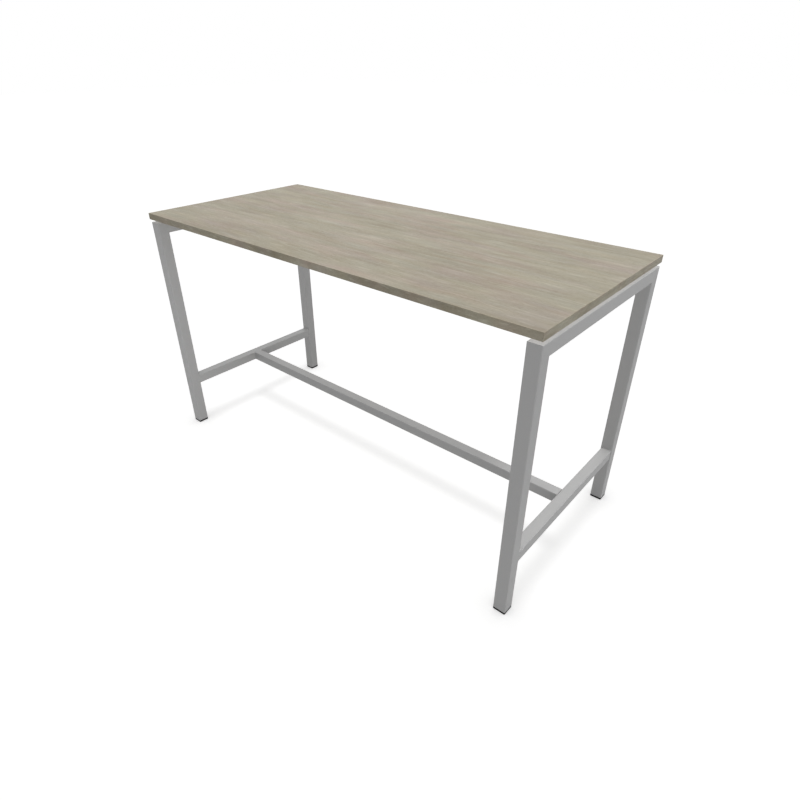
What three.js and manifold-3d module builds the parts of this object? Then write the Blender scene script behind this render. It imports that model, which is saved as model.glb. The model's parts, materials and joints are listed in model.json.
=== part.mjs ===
// Standing meeting table: a floating rectangular top on two welded end frames, tied together
// by two beams under the top and by one foot stretcher near the floor.
// Millimetres. +Z is up, +X runs along the table and -Y faces its front long side.
// The origin is on the floor, under the centre of the top.
import * as THREE from "three";
import { mergeVertices } from "three/addons/utils/BufferGeometryUtils.js";
import Module from "manifold-3d";

const wasm = await Module();
wasm.setup();

// Driving dimensions: the top
const TOP_LENGTH = 1800;
const TOP_DEPTH = 795;
const TABLE_HEIGHT = 1008;
const TOP_THICKNESS = 25;
const BAND_THICKNESS = 2;
const BAND_ROUNDING = 1;
const FLOAT_GAP = 12;

// Driving dimensions: the frame
const END_OVERHANG = 1;
const SIDE_OVERHANG = 5;
const LEG_SIZE = 45;
const BAR_SIZE = 40;
const TUBE_WALL = 2;
const TUBE_INNER_ROUNDING = 1;
const CROSSBAR_TOP = 245;
const BEAM_INSET = 162.5;

// Driving dimensions: the spigots that the beams and the stretcher slide onto
const SPIGOT_LENGTH = 60;
const SPIGOT_WALL = 4;
const SPIGOT_FLOOR = 8;
const SPIGOT_ROUNDING = 1.5;

// Driving dimensions: the screws
const LOCK_SCREW_RADIUS = 4;
const LOCK_SCREW_LENGTH = 12;
const LOCK_HEAD_RADIUS = 7;
const LOCK_HEAD_HEIGHT = 4.4;
const LOCK_KEY_SIZE = 5;
const TOP_SCREW_RADIUS = 2.5;
const TOP_SCREW_BITE = 13;
const TOP_SCREW_TIP = 4;
const TOP_HEAD_RADIUS = 5;
const TOP_HEAD_HEIGHT = 3;
const TOP_KEY_SIZE = 4;
const KEY_DEPTH = 2;
const DRIVER_ROOM = 1.5;
const RAIL_SCREW_INSET = 112.5;
const BEAM_SCREW_INSET = 399;
const SPACER_RADIUS = 12;
const SPACER_CHAMFER = 1;

// Driving dimensions: the levelling feet
const PAD_FLOOR = 3.2;
const PAD_LIP = 1;
const PAD_CHAMFER = 0.8;
const INSERT_FLANGE = 2;
const INSERT_HEIGHT = 30;
const INSERT_FIN_COUNT = 3;
const INSERT_FIN_THICKNESS = 2;
const INSERT_FIN_DEPTH = 1.4;
const STUD_RADIUS = 5;
const STUD_LENGTH = 36;
const STUD_CHAMFER = 1;
const STUD_NECK_RADIUS = 4.5;
const STUD_DISC_RADIUS = 7.5;
const STUD_DISC_HEIGHT = 1.2;
const HEX_SIZE = 16;
const HEX_HEIGHT = 4;

// Fits: the play round anything that slides or turns in a seat, and the root gap of a weld
const PLAY = 0.3;
const WELD_GAP = 0.3;

// How far a drill runs past the faces that it breaks through
const OVERCUT = 1;

// Fineness of the round surfaces
const CORNER_STEPS = 2;
const SMALL_CORNER_STEPS = 1;
const ROUND_SIDES = 24;
const SMALL_SIDES = 16;
const DOME_STEPS = 3;

// Heights and places that follow from the sizes above
const boardBottom = TABLE_HEIGHT - TOP_THICKNESS;
const boardHalfLength = TOP_LENGTH / 2 - BAND_THICKNESS;
const boardHalfDepth = TOP_DEPTH / 2 - BAND_THICKNESS;
const railTop = boardBottom - FLOAT_GAP;
const tubeRounding = TUBE_INNER_ROUNDING + TUBE_WALL;
const pocketHeight = STUD_DISC_HEIGHT + 2 * PLAY;
const padHeight = PAD_FLOOR + pocketHeight + PAD_LIP;
const flangeBottom = padHeight + PLAY;
const legBottom = flangeBottom + INSERT_FLANGE;
const frameHalfLength = TOP_LENGTH / 2 - END_OVERHANG;
const frameHalfDepth = TOP_DEPTH / 2 - SIDE_OVERHANG;
const legX = frameHalfLength - LEG_SIZE / 2;
const legY = frameHalfDepth - LEG_SIZE / 2;
const beamY = frameHalfDepth - BEAM_INSET;
const railScrewY = frameHalfDepth - RAIL_SCREW_INSET;
const beamScrewX = frameHalfLength - BEAM_SCREW_INSET;
const hexRadius = HEX_SIZE / 2 / Math.cos(Math.PI / 6);

// Finishes
const laminate = new THREE.MeshStandardMaterial({ color: "#aea593", roughness: 0.6 });
const edging = new THREE.MeshStandardMaterial({ color: "#a59c89", roughness: 0.55 });
const silverPaint = new THREE.MeshStandardMaterial({ color: "#bbbbbc", roughness: 0.45, metalness: 0.4 });
const blackPlastic = new THREE.MeshStandardMaterial({ color: "#1d1d1e", roughness: 0.6 });
const zincSteel = new THREE.MeshStandardMaterial({ color: "#b4b6b8", roughness: 0.35, metalness: 0.9 });

// A closed geometry as a solid that can be joined and cut.
function toSolid(geometry) {
  const bare = geometry.clone();
  bare.deleteAttribute("normal");
  bare.deleteAttribute("uv");
  const merged = mergeVertices(bare);
  return new wasm.Manifold(
    new wasm.Mesh({
      numProp: 3,
      vertProperties: merged.attributes.position.array,
      triVerts: new Uint32Array(merged.index.array),
    }),
  );
}

// A solid back as a geometry with flat-shaded faces.
function toGeometry(solid) {
  const mesh = solid.getMesh();
  const indexed = new THREE.BufferGeometry();
  indexed.setAttribute("position", new THREE.BufferAttribute(mesh.vertProperties, 3));
  indexed.setIndex(new THREE.BufferAttribute(mesh.triVerts, 1));
  const geometry = indexed.toNonIndexed();
  geometry.computeVertexNormals();
  return geometry;
}

function join(...geometries) {
  return toGeometry(geometries.map(toSolid).reduce((sum, part) => sum.add(part)));
}

function cut(geometry, ...cutters) {
  const solid = toSolid(geometry);
  return toGeometry(cutters.map(toSolid).reduce((rest, cutter) => rest.subtract(cutter), solid));
}

// A rectangle with round corners, centred on the origin.
function roundedRectangle(width, height, radius) {
  const x = width / 2 - radius;
  const y = height / 2 - radius;
  const quarter = Math.PI / 2;
  const outline = new THREE.Shape();
  outline.absarc(x, y, radius, 0, quarter);
  outline.absarc(-x, y, radius, quarter, 2 * quarter);
  outline.absarc(-x, -y, radius, 2 * quarter, 3 * quarter);
  outline.absarc(x, -y, radius, 3 * quarter, 4 * quarter);
  return outline;
}

function extrude(outline, depth, curveSegments = CORNER_STEPS) {
  return new THREE.ExtrudeGeometry(outline, { depth, bevelEnabled: false, curveSegments });
}

// A round pin or drill along +Z, from z = bottom upwards.
function rod(radius, bottom, height, sides = SMALL_SIDES) {
  const cylinder = new THREE.CylinderGeometry(radius, radius, height, sides);
  return cylinder.rotateX(Math.PI / 2).translate(0, 0, bottom + height / 2);
}

// A drill of a screw's clearance size along +Z, from z = bottom upwards.
function drill(screwRadius, bottom, height) {
  return rod(screwRadius + PLAY, bottom, height);
}

// The six-sided recess for a key, sunk into a screw head whose crown is at z = -headHeight.
function keyRecess(acrossFlats, headHeight) {
  return rod(acrossFlats / 2 / Math.cos(Math.PI / 6), -headHeight - OVERCUT, KEY_DEPTH + OVERCUT, 6);
}

// A profile of [radius, height] pairs turned about the Z axis.
function turn(profile, sides = SMALL_SIDES) {
  const points = profile.map(([radius, height]) => new THREE.Vector2(radius, height));
  return new THREE.LatheGeometry(points, sides).rotateX(Math.PI / 2);
}

// The profile of a domed screw head from its crown, below, to its seat at z = 0.
function domedHead(radius, height) {
  return Array.from({ length: DOME_STEPS + 1 }, (_, i) => {
    const angle = (Math.PI / 2) * (1 - i / DOME_STEPS);
    return [i === 0 ? 0 : radius * Math.cos(angle), -height * Math.sin(angle)];
  });
}

// A square steel tube along +Z. A mitred end leans back from the outer side, which faces -Y.
function tube(size, length, { mitreStart = false, mitreEnd = false } = {}) {
  const outline = roundedRectangle(size, size, tubeRounding);
  const hollow = size - 2 * TUBE_WALL;
  outline.holes.push(roundedRectangle(hollow, hollow, TUBE_INNER_ROUNDING));
  const geometry = extrude(outline, length);
  const points = geometry.attributes.position;
  for (let i = 0; i < points.count; i += 1) {
    const lean = points.getY(i) + size / 2 + (WELD_GAP / 2) * Math.SQRT2;
    const atStart = points.getZ(i) < length / 2;
    if (atStart && mitreStart) points.setZ(i, lean);
    if (!atStart && mitreEnd) points.setZ(i, length - lean);
  }
  return geometry;
}

// Drills for a top screw in a tube: a clearance hole in the upper wall and a wide driver hole
// in the lower one. The tube's upper face is at z = 0.
function topScrewDrills(x, y, tubeSize) {
  const through = TUBE_WALL + 2 * OVERCUT;
  const clearance = drill(TOP_SCREW_RADIUS, -TUBE_WALL - OVERCUT, through);
  const driver = rod(TOP_HEAD_RADIUS + DRIVER_ROOM, -tubeSize - OVERCUT, through);
  return [clearance.translate(x, y, 0), driver.translate(x, y, 0)];
}

function mesh(name, geometry, material, x = 0, y = 0, z = 0) {
  const made = new THREE.Mesh(geometry, material);
  made.name = name;
  made.position.set(x, y, z);
  return made;
}

// The chipboard core, with a blind pilot hole under the point of every top screw.
function boardGeometry(sites) {
  const board = new THREE.BoxGeometry(2 * boardHalfLength, 2 * boardHalfDepth, TOP_THICKNESS);
  board.translate(0, 0, TOP_THICKNESS / 2);
  const depth = TOP_SCREW_BITE + PLAY + OVERCUT;
  const pilots = sites.map(({ x, y }) => drill(TOP_SCREW_RADIUS, -OVERCUT, depth).translate(x, y, 0));
  return cut(board, ...pilots);
}

// An edge band: a flat plastic strip whose two outer arrises are rounded.
function edgeBand(name, angle, distance, length) {
  const r = BAND_ROUNDING;
  const strip = new THREE.Shape();
  strip.moveTo(0, 0);
  strip.absarc(BAND_THICKNESS - r, r, r, -Math.PI / 2, 0);
  strip.absarc(BAND_THICKNESS - r, TOP_THICKNESS - r, r, 0, Math.PI / 2);
  strip.lineTo(0, TOP_THICKNESS);
  const geometry = extrude(strip, length);
  const band = mesh(name, geometry, edging, distance, length / 2, boardBottom);
  band.rotation.x = Math.PI / 2;
  const side = new THREE.Group();
  side.rotation.z = angle;
  return side.add(band);
}

// A distance puck that keeps the top floating above the frame.
function spacerGeometry() {
  const bottom = [SPACER_RADIUS - SPACER_CHAMFER, 0];
  const top = [SPACER_RADIUS - SPACER_CHAMFER, FLOAT_GAP];
  const wall = [[SPACER_RADIUS, SPACER_CHAMFER], [SPACER_RADIUS, FLOAT_GAP - SPACER_CHAMFER]];
  const puck = turn([[0, 0], bottom, ...wall, top, [0, FLOAT_GAP]]);
  return cut(puck, drill(TOP_SCREW_RADIUS, -OVERCUT, FLOAT_GAP + 2 * OVERCUT));
}

// A pan-head wood screw, point up, with the seat of its head at z = 0.
function topScrewGeometry() {
  const point = TUBE_WALL + FLOAT_GAP + TOP_SCREW_BITE;
  const screw = turn([
    ...domedHead(TOP_HEAD_RADIUS, TOP_HEAD_HEIGHT),
    [TOP_SCREW_RADIUS, 0],
    [TOP_SCREW_RADIUS, point - TOP_SCREW_TIP],
    [0, point],
  ]);
  return cut(screw, keyRecess(TOP_KEY_SIZE, TOP_HEAD_HEIGHT));
}

// A button-head machine screw, point up, with the seat of its head at z = 0.
function lockScrewGeometry() {
  const screw = turn([
    ...domedHead(LOCK_HEAD_RADIUS, LOCK_HEAD_HEIGHT),
    [LOCK_SCREW_RADIUS, 0],
    [LOCK_SCREW_RADIUS, LOCK_SCREW_LENGTH],
    [0, LOCK_SCREW_LENGTH],
  ]);
  return cut(screw, keyRecess(LOCK_KEY_SIZE, LOCK_HEAD_HEIGHT));
}

// A U-shaped spigot along +X, open at the top, with the lock screw's threaded hole in its
// thick floor. The centre of the tube that slides over it is at y = z = 0.
function spigotGeometry() {
  const width = BAR_SIZE - 2 * TUBE_WALL - 2 * PLAY;
  const outside = roundedRectangle(width, width, SPIGOT_ROUNDING);
  const inside = roundedRectangle(width - 2 * SPIGOT_WALL, width, SPIGOT_ROUNDING);
  const block = extrude(outside, SPIGOT_LENGTH, SMALL_CORNER_STEPS);
  const slot = extrude(inside, SPIGOT_LENGTH + 2 * OVERCUT, SMALL_CORNER_STEPS);
  const channel = cut(block, slot.translate(0, SPIGOT_FLOOR, -OVERCUT));
  const thread = drill(LOCK_SCREW_RADIUS, -width / 2 - OVERCUT, SPIGOT_FLOOR + 2 * OVERCUT);
  const lying = channel.rotateX(Math.PI / 2).rotateZ(Math.PI / 2);
  return cut(lying, thread.translate(SPIGOT_LENGTH / 2, 0, 0));
}

// A square tube along X between two spigots, drilled for its lock screws and top screws.
// The middle of its upper face is at the origin.
function tieGeometry(length, topScrewPlaces) {
  const bar = tube(BAR_SIZE, length).rotateY(Math.PI / 2);
  bar.translate(-length / 2, 0, -BAR_SIZE / 2);
  const lockX = length / 2 - SPIGOT_LENGTH / 2;
  const lockDrills = [-lockX, lockX].map((x) =>
    drill(LOCK_SCREW_RADIUS, -BAR_SIZE - OVERCUT, TUBE_WALL + 2 * OVERCUT).translate(x, 0, 0),
  );
  const topDrills = topScrewPlaces.flatMap((x) => topScrewDrills(x, 0, BAR_SIZE));
  return cut(bar, ...lockDrills, ...topDrills);
}

// One tie with its two spigots and lock screws. Each spigot is welded to the inner face of an
// end frame, at x = innerFace, and the tie slides over it and is locked from below.
function tie(name, innerFace, y, top, topScrewPlaces) {
  const group = new THREE.Group();
  group.position.set(0, y, top);
  const length = 2 * (innerFace - WELD_GAP);
  group.add(mesh(name, tieGeometry(length, topScrewPlaces), silverPaint));
  for (const [end, angle] of [["left", 0], ["right", Math.PI]]) {
    const side = new THREE.Group();
    side.rotation.z = angle;
    const root = WELD_GAP - innerFace;
    side.add(mesh(`${name}_${end}_spigot`, spigotGeometry(), silverPaint, root, 0, -BAR_SIZE / 2));
    const lockX = root + SPIGOT_LENGTH / 2;
    side.add(mesh(`${name}_${end}_screw`, lockScrewGeometry(), zincSteel, lockX, 0, -BAR_SIZE));
    group.add(side);
  }
  return group;
}

// The nylon plug in a leg's open end: a flange that covers the tube wall, a core with grip
// fins, a bore for the stud and a recess that takes its hexagon. Its underside is at z = 0.
function insertGeometry() {
  const grip = LEG_SIZE - 2 * TUBE_WALL - 2 * PLAY;
  const core = grip - 2 * INSERT_FIN_DEPTH;
  const height = INSERT_FLANGE + INSERT_HEIGHT;
  const pitch = INSERT_HEIGHT / INSERT_FIN_COUNT;
  const flange = extrude(roundedRectangle(LEG_SIZE, LEG_SIZE, tubeRounding), INSERT_FLANGE);
  const body = extrude(roundedRectangle(core, core, TUBE_INNER_ROUNDING), height, SMALL_CORNER_STEPS);
  const finOutline = roundedRectangle(grip, grip, TUBE_INNER_ROUNDING);
  const fins = Array.from({ length: INSERT_FIN_COUNT }, (_, i) =>
    extrude(finOutline, INSERT_FIN_THICKNESS, SMALL_CORNER_STEPS)
      .translate(0, 0, INSERT_FLANGE + (i + 0.5) * pitch - INSERT_FIN_THICKNESS / 2),
  );
  const hole = rod(STUD_RADIUS + PLAY, -OVERCUT, height + 2 * OVERCUT, ROUND_SIDES);
  const recess = rod(hexRadius + PLAY, -OVERCUT, OVERCUT + HEX_HEIGHT + PLAY, ROUND_SIDES);
  return cut(join(flange, body, ...fins), hole, recess);
}

// The levelling stud: a disc that the pad holds, a neck, a spanner hexagon and the shank.
// Its disc lies on z = 0.
function studGeometry() {
  const hexBottom = STUD_DISC_HEIGHT + PLAY + PAD_LIP + PLAY;
  const hexMiddle = hexBottom + HEX_HEIGHT / 2;
  const shankTop = hexBottom + HEX_HEIGHT + STUD_LENGTH;
  const pin = turn(
    [
      [0, 0],
      [STUD_DISC_RADIUS, 0],
      [STUD_DISC_RADIUS, STUD_DISC_HEIGHT],
      [STUD_NECK_RADIUS, STUD_DISC_HEIGHT],
      [STUD_NECK_RADIUS, hexMiddle],
      [STUD_RADIUS, hexMiddle],
      [STUD_RADIUS, shankTop - STUD_CHAMFER],
      [STUD_RADIUS - STUD_CHAMFER, shankTop],
      [0, shankTop],
    ],
    ROUND_SIDES,
  );
  return join(pin, rod(hexRadius, hexBottom, HEX_HEIGHT, 6));
}

// The square glide that stands on the floor, at z = 0, with the snap pocket for the stud.
function padGeometry() {
  const flat = LEG_SIZE - 2 * PAD_CHAMFER;
  const glide = new THREE.ExtrudeGeometry(roundedRectangle(flat, flat, tubeRounding - PAD_CHAMFER), {
    depth: padHeight - 2 * PAD_CHAMFER,
    bevelSize: PAD_CHAMFER,
    bevelThickness: PAD_CHAMFER,
    bevelSegments: 1,
    curveSegments: CORNER_STEPS,
  });
  const pocket = rod(STUD_DISC_RADIUS + PLAY, PAD_FLOOR, pocketHeight, ROUND_SIDES);
  const mouth = rod(STUD_NECK_RADIUS + PLAY, PAD_FLOOR, padHeight, ROUND_SIDES);
  return cut(glide.translate(0, 0, PAD_CHAMFER), pocket, mouth);
}

// A leg with its levelling foot. The group's origin is on the floor under the leg.
function leg(name, geometries) {
  const group = new THREE.Group();
  group.add(mesh(`${name}_leg`, geometries.leg, silverPaint, 0, 0, legBottom));
  group.add(mesh(`${name}_insert`, geometries.insert, blackPlastic, 0, 0, flangeBottom));
  group.add(mesh(`${name}_stud`, geometries.stud, zincSteel, 0, 0, PAD_FLOOR + PLAY));
  group.add(mesh(`${name}_pad`, geometries.pad, blackPlastic));
  return group;
}

// The end frame's top rail, mitred to both legs and drilled for its top screws.
function railGeometry() {
  const length = 2 * frameHalfDepth;
  const rail = tube(LEG_SIZE, length, { mitreStart: true, mitreEnd: true });
  rail.translate(0, LEG_SIZE / 2, -length / 2).rotateX(-Math.PI / 2);
  const drills = [-railScrewY, railScrewY].flatMap((y) => topScrewDrills(0, y, LEG_SIZE));
  return cut(rail, ...drills);
}

// A welded end frame standing at +X. The one at -X is the same frame turned half round.
function endFrame(end, geometries) {
  const frame = new THREE.Group();
  frame.add(mesh(`${end}_top_rail`, railGeometry(), silverPaint, legX, 0, railTop));
  const reach = 2 * (frameHalfDepth - LEG_SIZE - WELD_GAP);
  const crossbar = tube(BAR_SIZE, reach).translate(0, 0, -reach / 2).rotateX(-Math.PI / 2);
  const crossbarZ = CROSSBAR_TOP - BAR_SIZE / 2;
  frame.add(mesh(`${end}_crossbar`, crossbar, silverPaint, legX, 0, crossbarZ));
  const [near, far] = end === "right" ? ["front", "rear"] : ["rear", "front"];
  for (const [place, y, angle] of [[near, -legY, 0], [far, legY, Math.PI]]) {
    const standing = leg(`${end}_${place}`, geometries);
    standing.position.set(legX, y, 0);
    standing.rotation.z = angle;
    frame.add(standing);
  }
  frame.rotation.z = end === "right" ? 0 : Math.PI;
  return frame;
}

// Every place where a screw holds the top: on the two rails and on the two beams.
function topScrewSites() {
  const ends = [["left", -1], ["right", 1]];
  const sides = [["front", -1], ["rear", 1]];
  return ends.flatMap(([end, x]) =>
    sides.flatMap(([side, y]) => [
      { name: `${end}_rail_${side}`, x: x * legX, y: y * railScrewY },
      { name: `${side}_beam_${end}`, x: x * beamScrewX, y: y * beamY },
    ]),
  );
}

function tableTop() {
  const top = new THREE.Group();
  const sites = topScrewSites();
  top.add(mesh("tabletop_board", boardGeometry(sites), laminate, 0, 0, boardBottom));
  top.add(edgeBand("right_edge_band", 0, boardHalfLength, 2 * boardHalfDepth));
  top.add(edgeBand("left_edge_band", Math.PI, boardHalfLength, 2 * boardHalfDepth));
  top.add(edgeBand("front_edge_band", -Math.PI / 2, boardHalfDepth, TOP_LENGTH));
  top.add(edgeBand("rear_edge_band", Math.PI / 2, boardHalfDepth, TOP_LENGTH));
  const spacer = spacerGeometry();
  const screw = topScrewGeometry();
  for (const { name, x, y } of sites) {
    top.add(mesh(`${name}_spacer`, spacer, blackPlastic, x, y, railTop));
    top.add(mesh(`${name}_top_screw`, screw, zincSteel, x, y, railTop - TUBE_WALL));
  }
  return top;
}

function table() {
  const group = new THREE.Group();
  group.add(tableTop());
  const geometries = {
    leg: tube(LEG_SIZE, railTop - legBottom, { mitreEnd: true }),
    insert: insertGeometry(),
    stud: studGeometry(),
    pad: padGeometry(),
  };
  group.add(endFrame("left", geometries), endFrame("right", geometries));
  const railFace = frameHalfLength - LEG_SIZE;
  const beamScrews = [-beamScrewX, beamScrewX];
  group.add(tie("front_beam", railFace, -beamY, railTop, beamScrews));
  group.add(tie("rear_beam", railFace, beamY, railTop, beamScrews));
  group.add(tie("foot_stretcher", legX - BAR_SIZE / 2, 0, CROSSBAR_TOP, []));
  return group;
}

export default table();
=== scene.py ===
import json

import bpy
import numpy as np
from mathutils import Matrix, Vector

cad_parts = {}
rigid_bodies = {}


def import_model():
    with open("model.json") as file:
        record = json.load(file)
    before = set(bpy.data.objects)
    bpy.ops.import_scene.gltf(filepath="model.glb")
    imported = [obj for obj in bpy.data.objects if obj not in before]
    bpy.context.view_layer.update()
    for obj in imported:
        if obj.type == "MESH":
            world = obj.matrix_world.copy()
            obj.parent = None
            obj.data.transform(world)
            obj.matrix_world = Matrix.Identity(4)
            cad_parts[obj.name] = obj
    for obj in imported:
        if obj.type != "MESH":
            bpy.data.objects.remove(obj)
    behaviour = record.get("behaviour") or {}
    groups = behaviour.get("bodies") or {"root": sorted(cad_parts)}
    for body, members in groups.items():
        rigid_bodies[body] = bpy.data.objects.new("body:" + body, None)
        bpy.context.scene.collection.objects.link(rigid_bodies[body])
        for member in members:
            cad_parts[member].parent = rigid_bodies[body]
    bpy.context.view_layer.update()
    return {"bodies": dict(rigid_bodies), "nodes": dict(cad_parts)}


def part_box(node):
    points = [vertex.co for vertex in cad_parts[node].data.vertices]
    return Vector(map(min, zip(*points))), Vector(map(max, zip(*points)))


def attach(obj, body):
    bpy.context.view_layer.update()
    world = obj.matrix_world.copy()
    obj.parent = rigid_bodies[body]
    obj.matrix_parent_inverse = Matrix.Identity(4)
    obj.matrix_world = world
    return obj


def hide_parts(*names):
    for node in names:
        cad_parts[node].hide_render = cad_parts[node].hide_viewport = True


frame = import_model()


# Legs: four upright 45 mm square steel tubes with a 2 mm wall and drawn round corners. They are
# sawn square at the foot, mitred under the rail, welded up and then powder coated silver grey.
ENDS = ("left", "right")
SIDES = ("front", "rear")
TUBE_WALL = 2.0
TUBE_ROUNDING = 3.0
FLAT_STEPS = 8
CORNER_STEPS = 6
SIDE_STEPS = FLAT_STEPS + CORNER_STEPS
CREASE_ANGLE = 30.0
COAT_PEBBLES = 620.0
COAT_DARK = (0.474, 0.474, 0.474, 1)
COAT_FLAKE = (0.572, 0.572, 0.572, 1)
COAT_CLOUD = (0.425, 0.425, 0.425, 1)
CLOUDS_PER_METRE, CLOUD_SHARE = 9.0, 0.05
COAT_ROUGHNESS = (0.43, 0.52)
# The strength of a relief in the shading, and its height in metres.
COAT_RELIEF = (0.06, 0.0004)
SPECKLE_FINENESS = 3.7


def node_box(node):
    """The lowest and the highest corner of a piece, in millimetres."""
    return [np.array(corner) * 1000 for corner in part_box(node)]


def square_lap(half, rounding):
    """One lap round a square with round corners. Each side runs along its flat in even steps and
    then round its corner on a quarter circle; the other sides are that one turned by 90 degrees."""
    flat = half - rounding
    along = np.linspace(-flat, flat, FLAT_STEPS, endpoint=False)
    angle = np.linspace(0, np.pi / 2, CORNER_STEPS, endpoint=False)
    straight = np.stack([np.full(FLAT_STEPS, half), along], axis=1)
    corner = flat + rounding * np.stack([np.cos(angle), np.sin(angle)], axis=1)
    side = np.concatenate([straight, corner])
    quarter_turn = np.array([[0, 1], [-1, 0]])
    turns = [np.linalg.matrix_power(quarter_turn, turn) for turn in range(4)]
    return np.concatenate([side @ turn for turn in turns])


def ladder(lower, upper):
    """Four-cornered faces between two rows of point numbers, each row closed on itself."""
    next_lower = np.roll(lower, -1, axis=-1)
    next_upper = np.roll(upper, -1, axis=-1)
    return np.stack([lower, next_lower, next_upper, upper], axis=-1).reshape(-1, 4)


def square_tube(size, start, end, holes=(), start_lean=(0, 0), end_lean=(0, 0)):
    """A square tube along the third axis: its outer and inner laps carried from start to end.
    An end leans by a share of the two cross coordinates, which makes a mitre. A hole is (side,
    place along the tube, radius): the block of faces round it gives way to a fan of faces between
    the edge of the block and the circle, on both skins, and a round wall joins the two circles."""
    flat = size / 2 - TUBE_ROUNDING
    marks = [place + flat * np.linspace(-1, 1, FLAT_STEPS + 1) for _, place, _ in holes]
    rows = np.unique(np.concatenate([[start, end], *marks]).round(5))
    count = 4 * SIDE_STEPS
    grid = np.arange(len(rows) * count).reshape(len(rows), count)
    kept = np.ones((len(rows) - 1, count), bool)
    blocks = []
    for side, place, _ in holes:
        row = np.abs(rows - (place - flat)).argmin()
        column = side * SIDE_STEPS
        kept[row:row + FLAT_STEPS, column:column + FLAT_STEPS] = False
        block = grid[row:row + FLAT_STEPS + 1, column:column + FLAT_STEPS + 1]
        edge = [block[0, :-1], block[:-1, -1], block[-1, :0:-1], block[:0:-1, 0]]
        blocks.append(np.concatenate(edge))
    cells = ladder(grid[:-1], grid[1:]).reshape(len(rows) - 1, count, 4)[kept]
    points, faces, first = [], [], 0
    ends, circles = [], []
    for depth, turn in ((0.0, 1), (TUBE_WALL, -1)):
        lap = square_lap(size / 2 - depth, TUBE_ROUNDING - depth)
        along = np.repeat(rows[:, None], count, axis=1)
        along[0] += lap @ np.array(start_lean)
        along[-1] += lap @ np.array(end_lean)
        skin = np.concatenate([np.broadcast_to(lap, (len(rows), count, 2)), along[..., None]], axis=2)
        skin = skin.reshape(-1, 3)
        points.append(skin)
        faces.append(cells[:, ::turn] + first)
        ends.append(grid[[0, -1]] + first)
        rims, total = [], len(skin)
        for (side, place, radius), edge in zip(holes, blocks):
            angle = side * np.pi / 2
            reach = size / 2 - depth
            centre = np.array([reach * np.cos(angle), reach * np.sin(angle), place])
            spoke = skin[edge] - centre
            points.append(centre + radius * spoke / np.linalg.norm(spoke, axis=1, keepdims=True))
            rim = np.arange(total, total + len(edge))
            faces.append(ladder(edge, rim)[:, ::turn] + first)
            rims.append(rim + first)
            total += len(edge)
        circles.append(rims)
        first += total
    outer, inner = ends
    faces += [ladder(inner[0], outer[0]), ladder(outer[1], inner[1])]
    faces += [ladder(rim, under) for rim, under in zip(*circles)]
    return np.concatenate(points), np.concatenate(faces)


def add_piece(name, points, faces, material, node=None, body="table"):
    """A piece that rides on its body, from points in millimetres and four-cornered faces. Points
    that fall together, as at a pole, become one, and a face that loses a corner there becomes a
    triangle. Where a node is named, the piece takes its place."""
    points, number = np.unique(np.round(points, 5), axis=0, return_inverse=True)
    faces = number.reshape(-1)[faces]
    doubled = faces == np.roll(faces, -1, axis=1)
    losses = doubled.sum(axis=1)
    triangles = faces[losses == 1][~doubled[losses == 1]].reshape(-1, 3)
    mesh = bpy.data.meshes.new(name)
    mesh.from_pydata(points / 1000, [], faces[losses == 0].tolist() + triangles.tolist())
    mesh.shade_smooth()
    mesh.set_sharp_from_angle(angle=np.radians(CREASE_ANGLE))
    mesh.materials.append(material)
    piece = bpy.data.objects.new(name, mesh)
    bpy.context.scene.collection.objects.link(piece)
    normals = piece.modifiers.new("flat_faces_stay_flat", "WEIGHTED_NORMAL")
    normals.keep_sharp = True
    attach(piece, body)
    if node:
        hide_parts(node)


def wire(tree, kind, inputs=(), **settings):
    """A shader node with its settings, its input values and the sockets that feed it."""
    made = tree.nodes.new(kind)
    for name, value in settings.items():
        setattr(made, name, value)
    for name, value in dict(inputs).items():
        if isinstance(value, bpy.types.NodeSocket):
            tree.links.new(value, made.inputs[name])
        else:
            made.inputs[name].default_value = value
    return made


def new_material(name):
    """A material with an empty principled shader. It gives the node tree, the shader and the
    object coordinates."""
    material = bpy.data.materials.new(name)
    material.use_nodes = True
    tree = material.node_tree
    tree.nodes.clear()
    shader = wire(tree, "ShaderNodeBsdfPrincipled")
    wire(tree, "ShaderNodeOutputMaterial", {"Surface": shader.outputs["BSDF"]})
    place = wire(tree, "ShaderNodeTexCoord").outputs["Object"]
    return material, tree, shader, place


def noise(tree, place, scale, detail=2.0, roughness=0.5):
    """Soft noise about one half, with so many lumps in each unit of the place."""
    inputs = {"Vector": place, "Scale": scale, "Detail": detail, "Roughness": roughness}
    return wire(tree, "ShaderNodeTexNoise", inputs).outputs["Fac"]


def spread(tree, value, low, high, to_low=0.0, to_high=1.0):
    """A value carried from one range to another and held at the ends."""
    inputs = {"Value": value, "From Min": low, "From Max": high, "To Min": to_low, "To Max": to_high}
    return wire(tree, "ShaderNodeMapRange", inputs).outputs["Result"]


def mixed(tree, share, first, second, way="MIX"):
    """Two colours mixed by a share that changes over the surface."""
    mix = wire(tree, "ShaderNodeMix", {0: share, 6: first, 7: second}, data_type="RGBA", blend_type=way)
    return mix.outputs[2]


def relief(tree, shader, height, strength, distance):
    """Fine relief in the shading of a surface, from a height."""
    bump = wire(tree, "ShaderNodeBump", {"Height": height, "Strength": strength, "Distance": distance})
    tree.links.new(bump.outputs["Normal"], shader.inputs["Normal"])


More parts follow.
